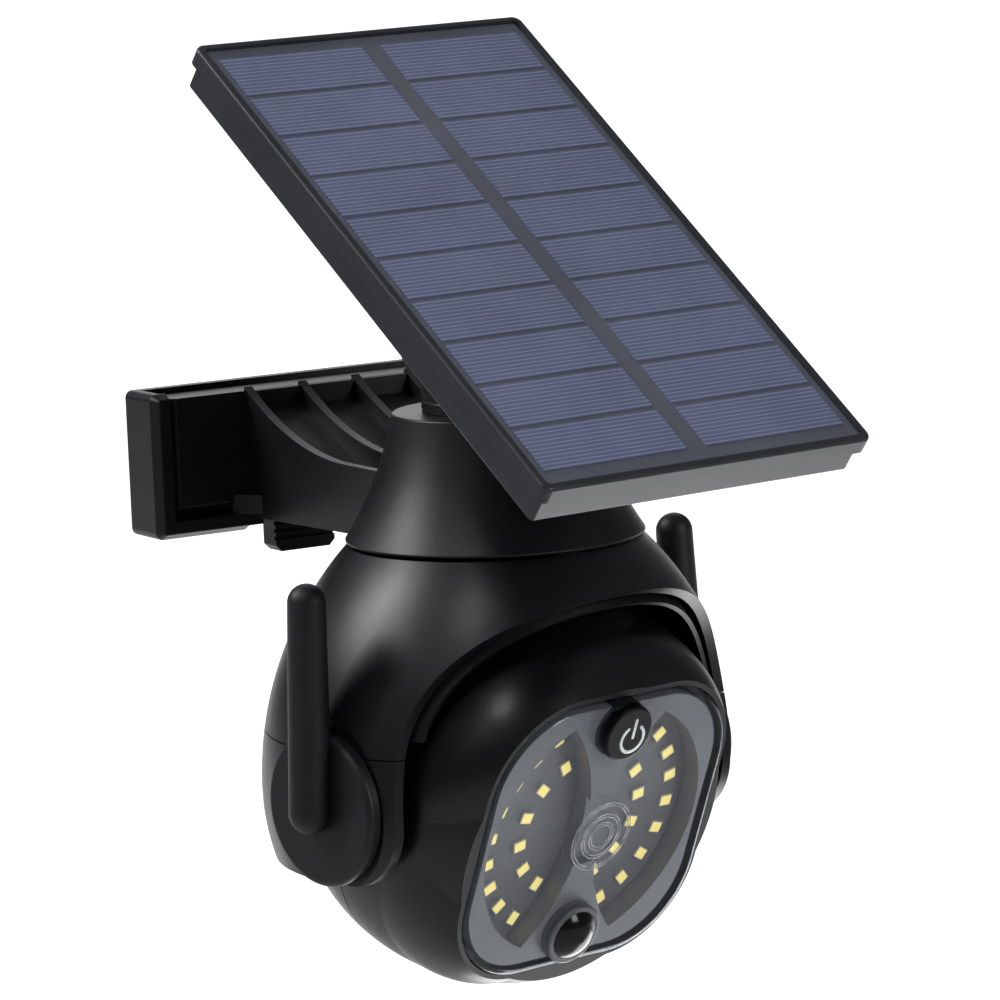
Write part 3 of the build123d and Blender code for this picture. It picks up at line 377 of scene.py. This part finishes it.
for name in ("base_screws", "retainer_screws", "shell_screws", "ball_screws", "tilt_pins",
             "motion_sensor", "battery_contacts", "turntable_screw", "hinge_bolt", "panel_screws"):
    MATERIALS[name] = steel
acetal = plastic("acetal_white", rgb(214, 212, 206), 0.45)
for name in ("pan_retainer", "tilt_bushes", "turntable_washer", "hinge_washer"):
    MATERIALS[name] = acetal
for name, obj in nodes.items():
    for item in obj.material_slots:
        item.material = MATERIALS[name]


# ---- extra pieces ------------------------------------------------------------------------------
def mesh_piece(name, bm, material, body):
    """Object from a bmesh, smooth shaded, riding a body and taking a finish from a slot."""
    mesh = bpy.data.meshes.new(name)
    bm.normal_update()
    bm.to_mesh(mesh)
    bm.free()
    for poly in mesh.polygons:
        poly.use_smooth = True
    obj = bpy.data.objects.new(name, mesh)
    bpy.context.scene.collection.objects.link(obj)
    obj.data.materials.append(material)
    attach(obj, body)
    return obj


def islands(node):
    """Centres of the loose pieces of a CAD node."""
    bm = bmesh.new()
    bm.from_mesh(nodes[node].data)
    bmesh.ops.remove_doubles(bm, verts=bm.verts, dist=1e-6)
    seen, centres = set(), []
    for start in bm.verts:
        if start.index in seen:
            continue
        stack, group = [start], []
        seen.add(start.index)
        while stack:
            v = stack.pop()
            group.append(v.co.copy())
            for e in v.link_edges:
                other = e.other_vert(v)
                if other.index not in seen:
                    seen.add(other.index)
                    stack.append(other)
        centres.append(sum(group, Vector()) / len(group))
    bm.free()
    return centres


def rounded_outline(half_x, half_y, r, steps=4):
    """Points of a rounded rectangle, counter-clockwise."""
    points = []
    for cx, cy, start in ((1, 1, 0), (-1, 1, 90), (-1, -1, 180), (1, -1, 270)):
        for k in range(steps + 1):
            a = math.radians(start + 90 * k / steps)
            x = cx * (half_x - r) + r * math.cos(a)
            points.append((x, cy * (half_y - r) + r * math.sin(a)))
    return points


def lofted(bm, place, rings):
    """Closed skin through rounded rectangles (half x, half y, corner, height), capped at both ends."""
    loops = []
    for half_x, half_y, r, height in rings:
        pts = rounded_outline(half_x * MM, half_y * MM, r * MM)
        loops.append([bm.verts.new(place @ Vector((x, y, height * MM))) for x, y in pts])
    for a, b in zip(loops, loops[1:]):
        for k in range(len(a)):
            bm.faces.new((a[k], a[(k + 1) % len(a)], b[(k + 1) % len(b)], b[k]))
    bm.faces.new(loops[0][::-1])
    bm.faces.new(loops[-1])


def emitter_places():
    """Frame of each emitter: Z out of the face, Y away from the face's centre line."""
    inverse = FACE.inverted()
    middle = local_points("led_emitters", FACE)
    z_mid = (middle[:, 2].min() + middle[:, 2].max()) / 2 * MM
    places = []
    for c in islands("led_emitters"):
        p = inverse @ c
        out = Vector((p.x, 0, p.z - z_mid)).normalized()
        places.append(FACE @ axes_frame(p, Vector((0, 1, 0)).cross(out), out))
    return places


def add_emitters():
    """White packages with a recessed window of phosphor gel, in place of the plain CAD blocks."""
    packages, gels = bmesh.new(), bmesh.new()
    for place in emitter_places():
        lofted(packages, place, EMITTER_RINGS)
        lofted(gels, place, GEL_RINGS)
    boxes = mesh_piece("emitter_packages", packages, MATERIALS["led_emitters"], "head")
    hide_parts("led_emitters")
    mesh_piece("emitter_gel", gels, phosphor("phosphor"), "head")


def round_end(end, inner, half):
    """Points of the half circle that closes a stroke at end, seen from the point inner."""
    along = (end - inner).normalized()
    side = Vector((-along.y, along.x, 0))
    points = []
    for k in range(1, END_STEPS):
        a = math.pi * k / END_STEPS
        points.append(end - side * half * math.cos(a) + along * half * math.sin(a))
    return points


def stroke(bm, place, path):
    """Raised stroke with round ends that follows a flat path."""
    pts = [Vector((x, y, 0)) for x, y in path]
    left, right = [], []
    for k, p in enumerate(pts):
        along = (pts[min(k + 1, len(pts) - 1)] - pts[max(k - 1, 0)]).normalized()
        side = Vector((-along.y, along.x, 0)) * STROKE_HALF
        left.append(p + side)
        right.append(p - side)
    head = round_end(pts[0], pts[1], STROKE_HALF)
    tail = round_end(pts[-1], pts[-2], STROKE_HALF)
    outline = [p * MM for p in head + right + tail + left[::-1]]
    top = [bm.verts.new(place @ (p + Vector((0, 0, STROKE_HIGH * MM)))) for p in outline]
    base = [bm.verts.new(place @ (p + Vector((0, 0, STROKE_LOW * MM)))) for p in outline]
    bm.faces.new(top)
    bm.faces.new(base[::-1])
    for k in range(len(top)):
        j = (k + 1) % len(top)
        bm.faces.new((top[k], base[k], base[j], top[j]))
    bmesh.ops.recalc_face_normals(bm, faces=bm.faces)


def ink_white(name):
    """Pad-printed white ink, with a faint painted glow that brightens it."""
    s = Shader(name)
    fine = s.noise(4000.0, 2.0)
    tone = s.mix(s.span(fine, 0.3, 0.7), rgb(232, 234, 238), rgb(252, 252, 255))
    return s.finish(s.principled(
        # the emission is a faint painted glow on the ink
        Base_Color=tone, Roughness=0.4, Emission_Color=(0.9, 0.95, 1.0, 1.0), Emission_Strength=0.15,
    ))


def add_symbol():
    """Generic power sign on the button: a ring open at the top, and a bar through the gap."""
    points = local_points("power_button", FACE)
    front = -points[:, 1].min()
    cap = points[points[:, 1] < -(front - 1.0)]
    cx = (cap[:, 0].min() + cap[:, 0].max()) / 2 + SYMBOL_SHIFT[0]
    cz = (cap[:, 2].min() + cap[:, 2].max()) / 2 + SYMBOL_SHIFT[1]
    place = FACE @ Matrix.Translation(Vector((cx, -front, cz)) * MM)
    place = place @ Matrix(((1, 0, 0, 0), (0, 0, -1, 0), (0, 1, 0, 0), (0, 0, 0, 1)))
    ring = []
    for k in range(SYMBOL_STEPS + 1):
        a = math.radians(90 + SYMBOL_GAP + (360 - 2 * SYMBOL_GAP) * k / SYMBOL_STEPS)
        ring.append((SYMBOL_R * math.cos(a), SYMBOL_R * math.sin(a)))
    bm = bmesh.new()
    stroke(bm, place, ring)
    stroke(bm, place, [(0, y) for y in SYMBOL_BAR])
    mesh_piece("power_symbol", bm, ink_white("symbol_white"), "button")


def painted_highlight_sheet(name):
    """Painted highlight: a whitish sheet that lets part of what is behind it through, standing in for the
    shine of the clear rings.
    """
    s = Shader(name)
    cloud = s.span(s.noise(260.0, 3.0), 0.35, 0.65)
    # whitish tone of the bands is painted highlight on the clear rings
    tone = s.mix(cloud, rgb(196, 200, 206), rgb(240, 242, 246))
    highlight_sheen = s.principled(Base_Color=tone, Roughness=0.25)
    open_air = s.add("ShaderNodeBsdfTransparent", {"Color": (0.95, 0.96, 0.97, 1.0)}).outputs[0]
    share = s.span(cloud, 0.0, 1.0, 0.35, 0.85)
    return s.finish(s.add("ShaderNodeMixShader", {0: share, 1: open_air, 2: highlight_sheen}).outputs[0])


def crest(bm, middle, r, front):
    """Round bead of one radius on the cover's front."""
    loops = []
    for k in range(CREST_STEPS):
        a = 2 * math.pi * k / CREST_STEPS
        loop = []
        for side, rise in CREST_PROFILE:
            x, z = middle + (r + side) * np.array((math.cos(a), math.sin(a)))
            loop.append(bm.verts.new(FACE @ (Vector((x, -front - rise, z)) * MM)))
        loops.append(loop)
    corners = len(CREST_PROFILE)
    for k, loop in enumerate(loops):
        after = loops[(k + 1) % CREST_STEPS]
        for j in range(corners):
            nxt = (j + 1) % corners
            bm.faces.new((loop[j], loop[nxt], after[nxt], after[j]))


def add_lens_rings():
    """Whitish crests along the moulded rings of the lens: painted highlight where the cover catches the
    light.
    """
    points = local_points("clear_cover", FACE)
    front = -points[:, 1].min()
    tops = points[points[:, 1] < -(front - 0.1)]
    middle = np.array([(tops[:, k].min() + tops[:, k].max()) / 2 for k in (0, 2)])
    reach = np.hypot(tops[:, 0] - middle[0], tops[:, 2] - middle[1])
    bm = bmesh.new()
    for r in sorted(set(np.round(reach, 1))):
        crest(bm, middle, r, front)
    bmesh.ops.recalc_face_normals(bm, faces=bm.faces)
    mesh_piece("lens_ring_highlights", bm, painted_highlight_sheet("crest_painted_highlight"), "head")


add_emitters()
add_symbol()
add_lens_rings()


# ---- studio ------------------------------------------------------------------------------------
def sweep_white(name, turn):
    """Pale sweep that glows behind the object and is plain below, beside and in front of it."""
    s = Shader(name, turn)
    cloud = s.span(s.noise(1.5, 2.0), 0.3, 0.7)
    tone = s.mix(cloud, (0.8, 0.8, 0.8, 1.0), (0.84, 0.84, 0.84, 1.0))
    x, y, _ = s.split()
    behind = s.span(y, 0.3, 1.0, 0.0, 1.0, True)
    glow = s.math("MULTIPLY", behind, s.span(s.math("ABSOLUTE", x), 1.3, 2.3, 1.0, 0.0, True))
    return s.finish(s.principled(
        Base_Color=tone, Roughness=0.8, Emission_Color=(1, 1, 1, 1), Emission_Strength=glow,
    ))


def add_floor(height):
    """Pale sweep: floor that curves up behind the object."""
    bm = bmesh.new()
    profile = [(SWEEP_FRONT, 0.0), (SWEEP_BEND, 0.0)]
    for k in range(1, SWEEP_STEPS + 1):
        a = math.radians(90 * k / SWEEP_STEPS)
        profile.append((SWEEP_BEND + SWEEP_R * math.sin(a), SWEEP_R - SWEEP_R * math.cos(a)))
    profile.append((SWEEP_BEND + SWEEP_R, SWEEP_TOP))
    turn = Matrix.Rotation(math.radians(VIEW_TURN), 4, "Z")
    rows = []
    for y, z in profile:
        rows.append([bm.verts.new(turn @ Vector((x, y, z + height))) for x in (-SWEEP_HALF, SWEEP_HALF)])
    for a, b in zip(rows, rows[1:]):
        bm.faces.new((a[0], a[1], b[1], b[0]))
    mesh = bpy.data.meshes.new("sweep")
    bm.to_mesh(mesh)
    bm.free()
    for poly in mesh.polygons:
        poly.use_smooth = True
    floor = bpy.data.objects.new("sweep", mesh)
    bpy.context.scene.collection.objects.link(floor)
    mesh.materials.append(sweep_white("sweep_white", turn))
    floor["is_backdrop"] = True


def add_light(name, at, target, width, height, power):
    """Rectangular softbox that faces a target."""
    data = bpy.data.lights.new(name, "AREA")
    data.shape = "RECTANGLE"
    data.size, data.size_y = width, height
    data.energy = power
    lamp = bpy.data.objects.new(name, data)
    bpy.context.scene.collection.objects.link(lamp)
    lamp.location = at
    lamp.rotation_mode = "QUATERNION"
    lamp.rotation_quaternion = (target - at).to_track_quat("-Z", "Y")


def add_world():
    """Dim, slightly blue surroundings."""
    world = bpy.data.worlds.new("studio")
    bpy.context.scene.world = world
    world.use_nodes = True
    tree = world.node_tree
    tree.nodes.clear()
    out = tree.nodes.new("ShaderNodeOutputWorld")
    back = tree.nodes.new("ShaderNodeBackground")
    back.inputs["Color"].default_value = (0.95, 0.97, 1.0, 1.0)
    back.inputs["Strength"].default_value = WORLD_STRENGTH
    tree.links.new(back.outputs[0], out.inputs[0])


low, high = (Vector(v) for v in size["loaded"])
centre = (low + high) / 2
add_floor(low.z - SWEEP_DROP)
add_world()
for name, distance, direction, width, height, power in LIGHTS:
    add_light(name, centre + distance * Vector(direction), centre, width, height, power)


# ---- camera ------------------------------------------------------------------------------------
def add_camera(place):
    """Long-lens camera at a place, turned to its own fixed axes."""
    data = bpy.data.cameras.new("camera")
    data.lens = CAMERA_LENS
    data.sensor_width = CAMERA_SENSOR
    data.clip_start, data.clip_end = CAMERA_CLIP
    cam = bpy.data.objects.new("camera", data)
    bpy.context.scene.collection.objects.link(cam)
    cam.location = place
    cam.rotation_mode = "QUATERNION"
    axes = Matrix((CAMERA_RIGHT, CAMERA_UP, CAMERA_BACK)).transposed()
    cam.rotation_quaternion = axes.to_quaternion()
    bpy.context.scene.camera = cam


add_camera(Vector(joints["shell_pan"]["pos_m"]) + Vector(CAMERA_PLACE))
bpy.context.scene.view_settings.view_transform = "Standard"

size["dressed"] = [list(v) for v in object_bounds()]
